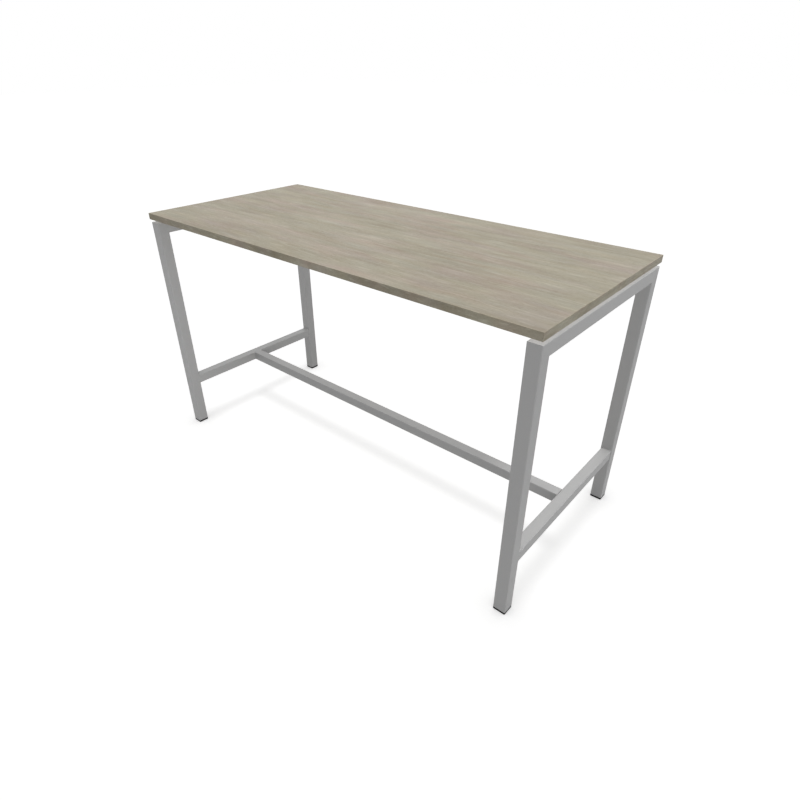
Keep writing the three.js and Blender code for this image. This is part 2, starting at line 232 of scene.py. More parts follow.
def make_orange_peel():
    """The skin of a sprayed or moulded surface: soft pebbles, and a finer speckle between them."""
    tree = bpy.data.node_groups.new("orange_peel", "ShaderNodeTree")
    tree.interface.new_socket("Place", in_out="INPUT", socket_type="NodeSocketVector")
    tree.interface.new_socket("Pebbles per metre", in_out="INPUT", socket_type="NodeSocketFloat")
    tree.interface.new_socket("Pebbles", in_out="OUTPUT", socket_type="NodeSocketFloat")
    tree.interface.new_socket("Speckle", in_out="OUTPUT", socket_type="NodeSocketFloat")
    start = wire(tree, "NodeGroupInput")
    rate = start.outputs["Pebbles per metre"]
    pebbles = noise(tree, start.outputs["Place"], rate, detail=1.0)
    finer = wire(tree, "ShaderNodeMath", {0: rate, 1: SPECKLE_FINENESS}, operation="MULTIPLY").outputs[0]
    speckle = noise(tree, start.outputs["Place"], finer, detail=2.0, roughness=0.7)
    wire(tree, "NodeGroupOutput", {
        "Pebbles": spread(tree, pebbles, 0.3, 0.7),
        "Speckle": spread(tree, speckle, 0.32, 0.68),
    })
    return tree


def powder_coat():
    """Silver-grey powder coat: fine bright flakes in the colour, faint clouds where the spray
    lies thicker, and the soft orange peel of a baked coat."""
    material, tree, shader, place = new_material("silver_powder_coat")
    skin = wire(tree, "ShaderNodeGroup", node_tree=orange_peel)
    tree.links.new(place, skin.inputs["Place"])
    skin.inputs["Pebbles per metre"].default_value = COAT_PEBBLES
    flakes = mixed(tree, skin.outputs["Speckle"], COAT_DARK, COAT_FLAKE)
    clouds = spread(tree, noise(tree, place, CLOUDS_PER_METRE, detail=3.0), 0.3, 0.7, 0.0, CLOUD_SHARE)
    colour = mixed(tree, clouds, flakes, COAT_CLOUD)
    tree.links.new(colour, shader.inputs["Base Color"])
    rough = spread(tree, skin.outputs["Pebbles"], 0.0, 1.0, *COAT_ROUGHNESS)
    tree.links.new(rough, shader.inputs["Roughness"])
    relief(tree, shader, skin.outputs["Pebbles"], *COAT_RELIEF)
    return material


orange_peel = make_orange_peel()
coat = powder_coat()
for end in ENDS:
    rail_top = node_box(f"{end}_top_rail")[1][2]
    for side, lean in zip(SIDES, (-1, 1)):
        low, high = node_box(f"{end}_{side}_leg")
        leg_size = high[0] - low[0]
        middle = (low + high) / 2 * (1, 1, 0)
        points, faces = square_tube(leg_size, low[2], rail_top - leg_size / 2, end_lean=(0, lean))
        name = f"{end}_{side}_leg"
        add_piece(f"{name}_tube", points + middle, faces, coat, name)


# Top rails: the same 45 mm tube, mitred to both legs of an end frame. Each has a small hole in
# its upper wall for a top screw, and a wide one below it that lets the driver through.
# Lays a tube that was made upright across the table, with its first side up.
ACROSS = np.array([[0, 0, 1], [1, 0, 0], [0, 1, 0]])
UP, DOWN = 0, 2
TOP_SCREW_HOLE = 2.8
DRIVER_HOLE = 6.5


def top_screw_holes(screws, axis):
    """The clearance and the driver hole of each top screw, at its place along the tube."""
    places = [sum(node_box(f"{screw}_top_screw"))[axis] / 2 for screw in screws]
    return [hole for at in places for hole in ((UP, at, TOP_SCREW_HOLE), (DOWN, at, DRIVER_HOLE))]


for end in ENDS:
    low, high = node_box(f"{end}_top_rail")
    size = high[0] - low[0]
    reach = node_box(f"{end}_rear_leg")[1][1] - size / 2
    holes = top_screw_holes([f"{end}_rail_{side}" for side in SIDES], 1)
    points, faces = square_tube(size, -reach, reach, holes, start_lean=(-1, 0), end_lean=(1, 0))
    middle = (low + high) / 2 * (1, 0, 1)
    name = f"{end}_top_rail"
    add_piece(f"{name}_tube", points @ ACROSS + middle, faces, coat, name)


# Crossbars: 40 mm square tubes near the floor, sawn square and butted between the two legs of an
# end frame, where they are welded all round.
for end in ENDS:
    low, high = node_box(f"{end}_crossbar")
    front = node_box(f"{end}_front_leg")[1][1]
    rear = node_box(f"{end}_rear_leg")[0][1]
    points, faces = square_tube(high[0] - low[0], front, rear)
    middle = (low + high) / 2 * (1, 0, 1)
    name = f"{end}_crossbar"
    add_piece(f"{name}_tube", points @ ACROSS + middle, faces, coat, name)


# Welds: small gas-shielded beads, laid in short even ripples and coated over with the frame. One
# runs round each end of a crossbar and one lies in the inner corner of each mitre; the outside of
# the mitres is ground flush.
BEAD_RADIUS = 1.7
RIPPLE_LENGTH = 2.4
RIPPLE_HEIGHT = 0.12
RIPPLE_STEPS = 4
BEAD_SIDES = 10
BEAD_INSET = 1.0
BEAD_BLUNTNESS = 16


def bead(path, outward, upward, girth):
    """A rope of weld along a path: at each step a circle in the plane of the outward and upward
    directions. Its radius swells and falls once in each ripple, by a parabola."""
    step = np.arange(len(path)) % RIPPLE_STEPS / RIPPLE_STEPS
    swell = 1 + RIPPLE_HEIGHT * (4 * step * (1 - step) - 0.5)
    radius = (girth * BEAD_RADIUS * swell)[:, None, None]
    angle = np.linspace(0, 2 * np.pi, BEAD_SIDES, endpoint=False)[None, :, None]
    around = np.cos(angle) * outward[:, None] + np.sin(angle) * upward[:, None]
    return path[:, None] + radius * around


def even_lap(lap, spacing, multiple):
    """Points at even steps round a closed lap, as many as a whole multiple, with the outward
    normal at each."""
    closed = np.concatenate([lap, lap[:1]])
    run = np.concatenate([[0], np.cumsum(np.linalg.norm(np.diff(closed, axis=0), axis=1))])
    count = multiple * round(run[-1] / spacing / multiple)
    at = np.linspace(0, run[-1], count, endpoint=False)
    points = np.stack([np.interp(at, run, closed[:, axis]) for axis in (0, 1)], axis=1)
    tangent = np.roll(points, -1, axis=0) - np.roll(points, 1, axis=0)
    normal = np.stack([tangent[:, 1], -tangent[:, 0]], axis=1)
    return points, normal / np.linalg.norm(normal, axis=1, keepdims=True)


for end in ENDS:
    low, high = node_box(f"{end}_crossbar")
    lap = square_lap((high[0] - low[0]) / 2, TUBE_ROUNDING)
    lap, normal = even_lap(lap, RIPPLE_LENGTH / RIPPLE_STEPS, RIPPLE_STEPS)
    middle = (low + high) / 2 * (1, 0, 1)
    for side, corner in zip(SIDES, (1, 0)):
        face = node_box(f"{end}_{side}_leg")[corner][1]
        flat = np.zeros((len(lap), 1))
        path = np.concatenate([lap, flat + face], axis=1) @ ACROSS + middle
        outward = np.concatenate([normal, flat], axis=1) @ ACROSS
        upward = np.tile([0.0, 1.0, 0.0], (len(lap), 1))
        rope = bead(path, outward, upward, np.ones(len(path)))
        grid = np.arange(rope[..., 0].size).reshape(len(path), BEAD_SIDES)
        faces = ladder(np.roll(grid, -1, axis=0), grid)
        add_piece(f"{end}_{side}_crossbar_weld", rope.reshape(-1, 3), faces, coat)

for end in ENDS:
    low, high = node_box(f"{end}_top_rail")
    half = (high[0] - low[0]) / 2 - BEAD_INSET
    for side, corner, inward in zip(SIDES, (1, 0), (1, -1)):
        inner = node_box(f"{end}_{side}_leg")[corner][1]
        count = RIPPLE_STEPS * round(2 * half / RIPPLE_LENGTH) + 1
        run = np.linspace(-half, half, count)
        corner_line = [np.full(count, inner), np.full(count, low[2])]
        path = np.stack([(low + high)[0] / 2 + run, *corner_line], axis=1)
        outward = np.tile(np.array([0, inward, -1]) / np.sqrt(2), (count, 1))
        upward = np.cross([1.0, 0.0, 0.0], outward)
        rope = bead(path, outward, upward, np.sqrt(1 - (run / half) ** BEAD_BLUNTNESS))
        grid = np.arange(rope[..., 0].size).reshape(count, BEAD_SIDES)
        add_piece(f"{end}_{side}_mitre_weld", rope.reshape(-1, 3), ladder(grid[:-1], grid[1:]),
                  coat)


# Spigots: U-shaped steel stubs welded to the inner faces of the end frames, hidden inside the
# ties. They are coated with the frame.
TIES = ("front_beam", "rear_beam", "foot_stretcher")
for tie in TIES:
    for end in ENDS:
        frame["nodes"][f"{tie}_{end}_spigot"].material_slots[0].material = coat


# Beams and foot stretcher: three 40 mm square tubes that tie the end frames together. They slide
# over the spigots and are drilled below for a lock screw at each end; the beams carry the top.
# Lays a tube that was made upright along the table, with its first side up.
LENGTHWISE = np.array([[0, 0, 1], [0, -1, 0], [1, 0, 0]])
LOCK_SCREW_HOLE = 4.3
for tie in TIES:
    low, high = node_box(tie)
    locks = [sum(node_box(f"{tie}_{end}_screw"))[0] / 2 for end in ENDS]
    holes = [(DOWN, lock, LOCK_SCREW_HOLE) for lock in locks]
    if tie != "foot_stretcher":
        holes += top_screw_holes([f"{tie}_{end}" for end in ENDS], 0)
    points, faces = square_tube(high[2] - low[2], low[0], high[0], holes)
    middle = (low + high) / 2 * (0, 1, 1)
    add_piece(f"{tie}_tube", points @ LENGTHWISE + middle, faces, coat, tie)


# Lock screws: M8 button-head screws of zinc-plated steel with a 5 mm key socket. They come up
# through the lower wall of a tie into the thread of the spigot.
TURN_STEPS = 48
AROUND = np.linspace(0, 2 * np.pi, TURN_STEPS, endpoint=False)
SPOKES = np.stack([np.cos(AROUND), np.sin(AROUND)], axis=1)
LOCK_RADIUS, LOCK_PITCH = 4.0, 1.25
LOCK_HEAD_RADIUS, LOCK_HEAD_HEIGHT = 7.0, 4.4
LOCK_KEY = 5.0
LOCK_TIP = 0.8
KEY_DEPTH = 2.0
KEY_CONE = 0.5
DOME_START = 0.55
DOME_STEPS = 8
THREAD_STEPS = 8
THREAD_DEPTH = 0.61
CREST_FLAT = 1 / 8
ROOT_FLAT = 1 / 4
ZINC_DARK = (0.50, 0.52, 0.55, 1)
ZINC_LIGHT = (0.66, 0.67, 0.68, 1)
ZINC_CLOUDS, ZINC_GRAINS = 420.0, 1500.0
ZINC_ROUGHNESS = (0.24, 0.42)
ZINC_RELIEF = (0.05, 0.0002)


def turned(profile, closed=False, spokes=SPOKES):
    """Rings laid over one another about the upright axis. The profile holds (radius, height)
    pairs, where either may change round the ring. Open profiles start and end on the axis."""
    count = len(spokes)
    radius = np.stack([np.broadcast_to(pair[0], count) for pair in profile])
    height = np.stack([np.broadcast_to(pair[1], count) for pair in profile])
    points = np.concatenate([radius[..., None] * spokes, height[..., None]], axis=2)
    grid = np.arange(radius.size).reshape(radius.shape)
    faces = ladder(grid, np.roll(grid, -1, axis=0)) if closed else ladder(grid[:-1], grid[1:])
    return points.reshape(-1, 3), faces


def hexagon(across_flats):
    """The radius of a hexagon at each spoke: half its width over the cosine of the angle to the
    middle of the nearest flat."""
    third = np.pi / 3
    return across_flats / 2 / np.cos((AROUND + third / 2) % third - third / 2)


def thread(bottom, top, crest, pitch, run_out, tip=0.0):
    """Rings of a cut thread. The radius falls from the crest by a wave that climbs one pitch in
    each turn, with a flat on the crest and a wider one at the root, and straight flanks between
    them. The groove fades in over the run-out, and the crest slopes down over the tip."""
    heights = np.linspace(bottom, top, round((top - bottom) / pitch * THREAD_STEPS) + 1)[:, None]
    place = np.abs((heights / pitch - AROUND / (2 * np.pi)) % 1 - 0.5)
    fall = np.clip((place - CREST_FLAT / 2) / (1 - CREST_FLAT - ROOT_FLAT) * 2, 0, 1)
    fade = np.clip((heights - bottom) / run_out, 0, 1)
    slope = np.clip(heights - (top - tip), 0, None)
    radius = np.minimum(crest - THREAD_DEPTH * pitch * fall * fade, crest - slope)
    return list(zip(radius, heights[:, 0]))


def socket_head(key, head_radius, head_height):
    """The head of a socket screw from the bottom of its key socket, over the dome, to the seat at
    height 0. The dome is a quarter ellipse, and the socket breaks through it along a hexagon."""
    def dome(radius):
        return -head_height * np.sqrt(1 - (radius / head_radius) ** 2)

    socket = hexagon(key)
    angle = np.linspace(DOME_START, 1, DOME_STEPS) * np.pi / 2
    shoulder = [(head_radius * np.sin(a), -head_height * np.cos(a)) for a in angle]
    floor = KEY_DEPTH - head_height
    return [(0.0, floor + KEY_CONE), (socket, floor), (socket, dome(socket)), *shoulder]


zinc, zinc_tree, zinc_shader, zinc_place = new_material("bright_zinc_plate")
zinc_cloud = noise(zinc_tree, zinc_place, ZINC_CLOUDS, detail=3.0, roughness=0.6)
zinc_colour = mixed(zinc_tree, zinc_cloud, ZINC_DARK, ZINC_LIGHT)
zinc_tree.links.new(zinc_colour, zinc_shader.inputs["Base Color"])
zinc_grain = noise(zinc_tree, zinc_place, ZINC_GRAINS, detail=2.0)
zinc_rough = spread(zinc_tree, zinc_grain, 0.3, 0.7, *ZINC_ROUGHNESS)
zinc_tree.links.new(zinc_rough, zinc_shader.inputs["Roughness"])
zinc_shader.inputs["Metallic"].default_value = 1.0
relief(zinc_tree, zinc_shader, zinc_cloud, *ZINC_RELIEF)

for tie in TIES:
    seat = node_box(tie)[0][2]
    for end in ENDS:
        name = f"{tie}_{end}_screw"
        low, high = node_box(name)
        length = high[2] - seat
        profile = socket_head(LOCK_KEY, LOCK_HEAD_RADIUS, LOCK_HEAD_HEIGHT)
        profile.append((LOCK_RADIUS, 0.0))
        profile += thread(0.0, length, LOCK_RADIUS, LOCK_PITCH, LOCK_PITCH, LOCK_TIP)
        points, faces = turned([*profile, (0.0, length)])
        middle = (low + high) / 2 * (1, 1, 0) + (0, 0, seat)
        add_piece(f"{name}_m8", points + middle, faces, zinc, name)


# Leg plugs: injection-moulded black nylon. A flange covers the sawn end of the leg, grip fins hold
# the core in the tube, and a bore with a wide mouth takes the levelling stud and its hexagon.
FLANGE_ROUNDING = 0.4
FLANGE_ARC = np.linspace(0, np.pi / 2, 5)
STUD_BORE = 5.3
HEX_ROOM = 0.3
HEX_WIDTH = 16.0
HEX_HEIGHT = 4.0
FLANGE_HEIGHT = 2.0
PLUG_GRIP = 20.2
FIN_DEPTH = 1.4
FIN_TAPER = 0.35
FIN_HEIGHT = 2.0
FIN_PITCH = 10.0
PLUG_ROUNDING = 1.0
PLUG_CHAMFER = 0.6
NYLON_PEBBLES = 1500.0
NYLON_BLACK = (0.006, 0.006, 0.006, 1)
NYLON_PEAK = (0.011, 0.011, 0.011, 1)
NYLON_ROUGHNESS = (0.48, 0.62)
NYLON_GLOSS = 0.1
NYLON_RELIEF = (0.12, 0.0002)


def rounded_square(spokes, half, rounding):
    """How far a square with round corners reaches along each spoke: to its flat or, past the end
    of the flat, to the circle of the corner."""
    to_flat = half / np.abs(spokes).max(axis=1)
    centre = half - rounding
    ahead = np.abs(spokes).sum(axis=1) * centre
    to_corner = ahead + np.sqrt(np.maximum(ahead ** 2 - 2 * centre ** 2 + rounding ** 2, 0))
    least = np.abs(spokes).min(axis=1)
    return np.where(to_flat * least > centre, to_corner, to_flat)


def nylon_moulding():
    """Black nylon with the fine spark-eroded grain of the mould, a little lighter on its peaks."""
    material, tree, shader, place = new_material("black_nylon")
    skin = wire(tree, "ShaderNodeGroup", node_tree=orange_peel)
    tree.links.new(place, skin.inputs["Place"])
    skin.inputs["Pebbles per metre"].default_value = NYLON_PEBBLES
    colour = mixed(tree, skin.outputs["Speckle"], NYLON_BLACK, NYLON_PEAK)
    tree.links.new(colour, shader.inputs["Base Color"])
    rough = spread(tree, skin.outputs["Pebbles"], 0.0, 1.0, *NYLON_ROUGHNESS)
    tree.links.new(rough, shader.inputs["Roughness"])
    shader.inputs["Specular IOR Level"].default_value = NYLON_GLOSS
    relief(tree, shader, skin.outputs["Pebbles"], *NYLON_RELIEF)
    return material


nylon = nylon_moulding()
corner_reach = HEX_WIDTH / 2 / np.cos(np.pi / 6) + HEX_ROOM
for end in ENDS:
    for side in SIDES:
        name = f"{end}_{side}_insert"
        low, high = node_box(name)
        half = (high[0] - low[0]) / 2
        spokes = square_lap(half, TUBE_ROUNDING)
        spokes = spokes / np.linalg.norm(spokes, axis=1, keepdims=True)
        bottom, top = low[2], high[2]
        flange_top = bottom + FLANGE_HEIGHT
        grip = half - PLUG_GRIP
        core = grip + FIN_DEPTH
        curl = FLANGE_ROUNDING * (1 - np.sin(FLANGE_ARC))
        rise = FLANGE_ROUNDING * (1 - np.cos(FLANGE_ARC))
        steps = list(zip(curl, TUBE_ROUNDING - curl, bottom + rise))
        steps += [(0, TUBE_ROUNDING, flange_top), (core, PLUG_ROUNDING, flange_top)]
        for fin in np.arange(flange_top + FIN_PITCH / 2, top, FIN_PITCH):
            root, crest = FIN_HEIGHT / 2, FIN_HEIGHT / 2 - FIN_TAPER
            edges = ((core, -root), (grip, -crest), (grip, crest), (core, root))
            steps += [(inset, PLUG_ROUNDING, fin + offset) for inset, offset in edges]
        steps += [(core, PLUG_ROUNDING, top - PLUG_CHAMFER), (core + PLUG_CHAMFER, PLUG_ROUNDING, top)]
        recess_top = bottom + HEX_HEIGHT + HEX_ROOM
        profile = [
            (corner_reach, bottom),
            *[(rounded_square(spokes, half - inset, corner), z) for inset, corner, z in steps],
            (STUD_BORE, top), (STUD_BORE, recess_top), (corner_reach, recess_top),
        ]
        points, faces = turned(profile, closed=True, spokes=spokes)
        middle = (low + high) / 2 * (1, 1, 0)
        add_piece(f"{name}_plug", points + middle, faces, nylon, name)


# Levelling studs: zinc-plated M10 studs. A spanner hexagon lies in the mouth of the plug, a cut
# thread runs up into its bore, and a disc on a short neck snaps into the pad.
STUD_RADIUS, STUD_PITCH = 5.0, 1.5
NECK_RADIUS = 4.5
DISC_RADIUS, DISC_HEIGHT = 7.5, 1.2
DISC_ROUNDING = 0.3
HEX_CHAMFER = 7.8
CHAMFER_SLOPE = np.tan(np.pi / 6)
CHAMFER_STEPS = 5
STUD_TIP = 1.0
for end in ENDS:
    for side in SIDES:
        name = f"{end}_{side}_stud"
        low, high = node_box(name)
        hex_bottom = node_box(f"{end}_{side}_insert")[0][2]
        hex_top = hex_bottom + HEX_HEIGHT
        width = hexagon(HEX_WIDTH)
        slopes = np.linspace(0, (width.max() - HEX_CHAMFER) * CHAMFER_SLOPE, CHAMFER_STEPS)
        facet = [np.minimum(width, HEX_CHAMFER + slope / CHAMFER_SLOPE) for slope in slopes]
        disc_top = low[2] + DISC_HEIGHT
        profile = [
            (0.0, low[2]), (DISC_RADIUS - DISC_ROUNDING, low[2]), (DISC_RADIUS, low[2] + DISC_ROUNDING),
            (DISC_RADIUS, disc_top - DISC_ROUNDING), (DISC_RADIUS - DISC_ROUNDING, disc_top),
            (NECK_RADIUS, disc_top), (NECK_RADIUS, hex_bottom),
            *[(radius, hex_bottom + slope) for radius, slope in zip(facet, slopes)],
            *[(radius, hex_top - slope) for radius, slope in zip(facet[::-1], slopes[::-1])],
            *thread(hex_top, high[2], STUD_RADIUS, STUD_PITCH, 2 * STUD_PITCH, STUD_TIP),
            (0.0, high[2]),
        ]
        points, faces = turned(profile)
        middle = (low + high) / 2 * (1, 1, 0)
        add_piece(f"{name}_m10", points + middle, faces, zinc, name, f"{end}_{side}_screw")


# Floor pads: square black nylon glides, as wide as the leg, with rounded rims. A snap pocket under
# a thin lip holds the disc of the stud, so that the pad stays square while the stud turns in it.
PAD_ROUNDING = 0.8
PAD_FLOOR = 3.2
PAD_LIP = 1.0
POCKET_RADIUS = 7.8
MOUTH_RADIUS = 4.8
MOUTH_CHAMFER = 0.3
RIM_ARC = np.linspace(0, np.pi / 2, 6)
for end in ENDS:
    for side in SIDES:
        name = f"{end}_{side}_pad"
        low, high = node_box(name)
        half = (high[0] - low[0]) / 2
        spokes = square_lap(half, TUBE_ROUNDING)
        spokes = spokes / np.linalg.norm(spokes, axis=1, keepdims=True)
        rim = [(PAD_ROUNDING * (1 - np.sin(a)), PAD_ROUNDING * (1 - np.cos(a))) for a in RIM_ARC]
        outline = {inset: np.linalg.norm(square_lap(half - inset, TUBE_ROUNDING - inset), axis=1)
                   for inset, _ in rim}
        top, lip = high[2], high[2] - PAD_LIP
        profile = [(0.0, low[2])]
        profile += [(outline[inset], low[2] + rise) for inset, rise in rim]
        profile += [(outline[inset], top - rise) for inset, rise in rim[::-1]]
        profile += [(MOUTH_RADIUS + MOUTH_CHAMFER, top), (MOUTH_RADIUS, top - MOUTH_CHAMFER),
                    (MOUTH_RADIUS, lip), (POCKET_RADIUS, lip), (POCKET_RADIUS, low[2] + PAD_FLOOR),
                    (0.0, low[2] + PAD_FLOOR)]
        points, faces = turned(profile, spokes=spokes)
        middle = (low + high) / 2 * (1, 1, 0)
        add_piece(f"{name}_glide", points + middle, faces, nylon, name, f"{end}_{side}_foot")


# Spacers: turned black nylon pucks, bored for a top screw. Two sit on each rail and two on each
# beam, and they make the gap over which the top floats.
SPACER_ROUNDING = 1.0
SITES = [f"{end}_rail_{side}" for end in ENDS for side in SIDES]
SITES += [f"{side}_beam_{end}" for side in SIDES for end in ENDS]
for site in SITES:
    name = f"{site}_spacer"
    low, high = node_box(name)
    radius = (high[0] - low[0]) / 2
    reach = radius - SPACER_ROUNDING * (1 - np.sin(RIM_ARC))
    rise = SPACER_ROUNDING * (1 - np.cos(RIM_ARC))
    profile = [(TOP_SCREW_HOLE, low[2])]
    profile += zip(reach, low[2] + rise)
    profile += zip(reach[::-1], high[2] - rise[::-1])
    points, faces = turned([*profile, (TOP_SCREW_HOLE, high[2])], closed=True)
    middle = (low + high) / 2 * (1, 1, 0)
    add_piece(f"{name}_puck", points + middle, faces, nylon, name)


# Tabletop: a chipboard panel faced on both sides with a pale matt oak decor, printed and pressed
# with the grain along the table. Blind pilot holes under it take the top screws.
DECOR_COLOUR, DECOR_CONTRAST = (0.406, 0.363, 0.289), 0.325
TONE_SWING = np.array([0.88, 1.0, 1.12])
MARK_TINT = (0.45, 0.42, 0.38)
BEIGE_CAST, PINK_CAST = (0.991, 1.014, 0.991, 1), (1.018, 0.971, 1.018, 1)
COOL_CAST, WARM_CAST = (0.973, 1.0, 1.036, 1), (1.027, 1.0, 0.964, 1)
PORE_ROUGHNESS, FIBRE_ROUGHNESS = 0.7, 0.54
OAK_GLOSS = 0.25
OAK_RELIEF = (0.1, 0.0003)
# Sizes in the print are metres along and across the grain; a layer of growth also has its weight.
# A mark starts where its noise passes the first number of its range, and is full at the second.
GROWTH_LAYERS = (
    (0.480, 0.095, 0.27), (0.120, 0.070, 0.16), (0.400, 0.028, 0.21), (0.280, 0.011, 0.10),
    (0.090, 0.016, 0.13), (0.035, 0.005, 0.06),
)
SWAY_SIZE, SWAY_REACH = (0.5, 0.16), 0.05
STROKE_SIZE, STROKE_WEIGHT, STROKE_RANGE = (0.09, 0.006), 0.17, (0.60, 0.74)
FIBRE_SIZE, FIBRE_WEIGHT = (0.016, 0.0022), 0.2
PORE_SIZE, PORE_MARK, PORE_RANGE = (0.014, 0.0007), 0.3, (0.58, 0.72)
KNOT_CELL, KNOT_MARK = (0.42, 0.14), 0.22
KNOT_CORE, KNOT_REACH = 0.006, 0.018
EMPTY_CELLS = 0.6
BLUSH_SIZE, BLUSH_RANGE = (0.26, 0.07), (0.43, 0.73)
WARMTH_SIZE = (0.18, 0.035)


def make_oak_grain():
    """Oak as a decor printer draws it, with the grain along X: broad bands and blotches of growth,
    streaks, sparse pale strokes, fibres, fine pores, scattered small knots, and slow drifts of the
    colour. Pores and knots are marked together, and the pores lie as shallow grooves among the
    fibres."""
    tree = bpy.data.node_groups.new("oak_grain", "ShaderNodeTree")
    tree.interface.new_socket("Place", in_out="INPUT", socket_type="NodeSocketVector")
    for name in ("Tone", "Blush", "Warmth", "Marks", "Relief"):
        tree.interface.new_socket(name, in_out="OUTPUT", socket_type="NodeSocketFloat")
    start = wire(tree, "NodeGroupInput").outputs["Place"]

    def vector_math(operation, first, second):
        return wire(tree, "ShaderNodeVectorMath", {0: first, 1: second}, operation=operation).outputs[0]

    def math(operation, first, second, third=0.0):
        return wire(tree, "ShaderNodeMath", {0: first, 1: second, 2: third}, operation=operation).outputs[0]

    def stretched(place, length, width):
        return vector_math("DIVIDE", place, (length, width, width))

    wander = wire(tree, "ShaderNodeTexNoise", {"Vector": stretched(start, *SWAY_SIZE), "Scale": 1.0})
    sway = vector_math("SUBTRACT", wander.outputs["Color"], (0.5, 0.5, 0.5))
    place = vector_math("ADD", start, vector_math("MULTIPLY", sway, (0.0, SWAY_REACH, SWAY_REACH)))
    tone = 0.5
    for length, width, weight in GROWTH_LAYERS:
        layer = math("SUBTRACT", noise(tree, stretched(place, length, width), 1.0, detail=0.0), 0.5)
        tone = math("MULTIPLY_ADD", layer, weight, tone)
    strokes = spread(tree, noise(tree, stretched(place, *STROKE_SIZE), 1.0, detail=0.0), *STROKE_RANGE)
    tone = math("MULTIPLY_ADD", strokes, STROKE_WEIGHT, tone)
    fibres = noise(tree, stretched(place, *FIBRE_SIZE), 1.0, detail=1.0)
    tone = math("MULTIPLY_ADD", math("SUBTRACT", fibres, 0.5), FIBRE_WEIGHT, tone)
    pores = spread(tree, noise(tree, stretched(place, *PORE_SIZE), 1.0, detail=0.0), *PORE_RANGE)
    along = wire(tree, "ShaderNodeSeparateXYZ", {"Vector": start}).outputs["X"]
    across = wire(tree, "ShaderNodeVectorMath", {0: start, 1: (0.0, 1.0, 1.0)}, operation="DOT_PRODUCT")
    flat = wire(tree, "ShaderNodeCombineXYZ", {"X": along, "Y": across.outputs["Value"]}).outputs[0]
    spots = wire(tree, "ShaderNodeTexVoronoi", {"Vector": stretched(flat, *KNOT_CELL), "Scale": 1.0},
                 voronoi_dimensions="2D")
    chosen = wire(tree, "ShaderNodeSeparateColor", {"Color": spots.outputs["Color"]}).outputs["Red"]
    knots = math("MULTIPLY", spread(tree, spots.outputs["Distance"], KNOT_CORE, KNOT_REACH, 1.0, 0.0),
                 math("GREATER_THAN", chosen, EMPTY_CELLS))
    marks = math("MULTIPLY_ADD", pores, PORE_MARK, math("MULTIPLY", knots, KNOT_MARK))
    blush = noise(tree, stretched(start, *BLUSH_SIZE), 1.0, detail=1.0)
    warmth = noise(tree, stretched(place, *WARMTH_SIZE), 1.0, detail=1.0)
    wire(tree, "NodeGroupOutput", {
        "Tone": spread(tree, tone, 0.2, 0.8),
        "Blush": spread(tree, blush, *BLUSH_RANGE),
        "Warmth": spread(tree, warmth, 0.2, 0.8),
        "Marks": marks,
        "Relief": math("SUBTRACT", spread(tree, fibres, 0.3, 0.7), pores),
    })
    return tree


def oak_material(name, colour, contrast, turn=(0.0, 0.0, 0.0), stretch=(1.0, 1.0, 1.0)):
    """Oak decor about a given colour. The grain runs along X unless the pattern is turned, and the
    contrast is the share by which the palest and darkest tones leave the colour. They leave it more
    in blue than in red, so that dark streaks are warmer than pale ones."""
    def tinted(*share):
        return (*(np.array(colour) * share), 1.0)

    material, tree, shader, place = new_material(name)
    mapping = wire(tree, "ShaderNodeMapping", {"Vector": place, "Rotation": turn, "Scale": stretch})
    grain = wire(tree, "ShaderNodeGroup", node_tree=oak_grain)
    tree.links.new(mapping.outputs["Vector"], grain.inputs["Place"])
    swing = contrast * TONE_SWING
    dark, light = tinted(*(1 - swing)), tinted(*(1 + swing))
    tone = mixed(tree, grain.outputs["Tone"], dark, light)
    blush = mixed(tree, grain.outputs["Blush"], BEIGE_CAST, PINK_CAST)
    warmth = mixed(tree, grain.outputs["Warmth"], COOL_CAST, WARM_CAST)
    cast = mixed(tree, 1.0, blush, warmth, "MULTIPLY")
    plain = mixed(tree, 1.0, tone, cast, "MULTIPLY")
    wood = mixed(tree, grain.outputs["Marks"], plain, tinted(*MARK_TINT))
    tree.links.new(wood, shader.inputs["Base Color"])
    rough = spread(tree, grain.outputs["Relief"], -1.0, 1.0, PORE_ROUGHNESS, FIBRE_ROUGHNESS)
    tree.links.new(rough, shader.inputs["Roughness"])
    shader.inputs["Specular IOR Level"].default_value = OAK_GLOSS
    relief(tree, shader, grain.outputs["Relief"], *OAK_RELIEF)
    return material


oak_grain = make_oak_grain()
decor = oak_material("oak_decor", DECOR_COLOUR, DECOR_CONTRAST)
frame["nodes"]["tabletop_board"].material_slots[0].material = decor


# Edge bands: 2 mm plastic edging in the same oak print, glued round the panel and trimmed with a
# small radius on the outer arrises. The long bands run over the ends of the short ones.
BAND_ROUNDING = 1.0
ROUNDED_END, SQUARE_END = 1.0, 0.0
ARC_STEPS = 6
UPWARD = np.array([0.0, 0.0, 1.0])
EDGING_COLOUR = (0.438, 0.392, 0.306)
LONG_CONTRAST, LONG_STRETCH = 0.4, (2.5, 1.0, 1.0)
END_CONTRAST, END_STRETCH = 0.45, (2.0, 4.0, 2.0)
QUARTER_TURN = (0.0, 0.0, np.pi / 2)


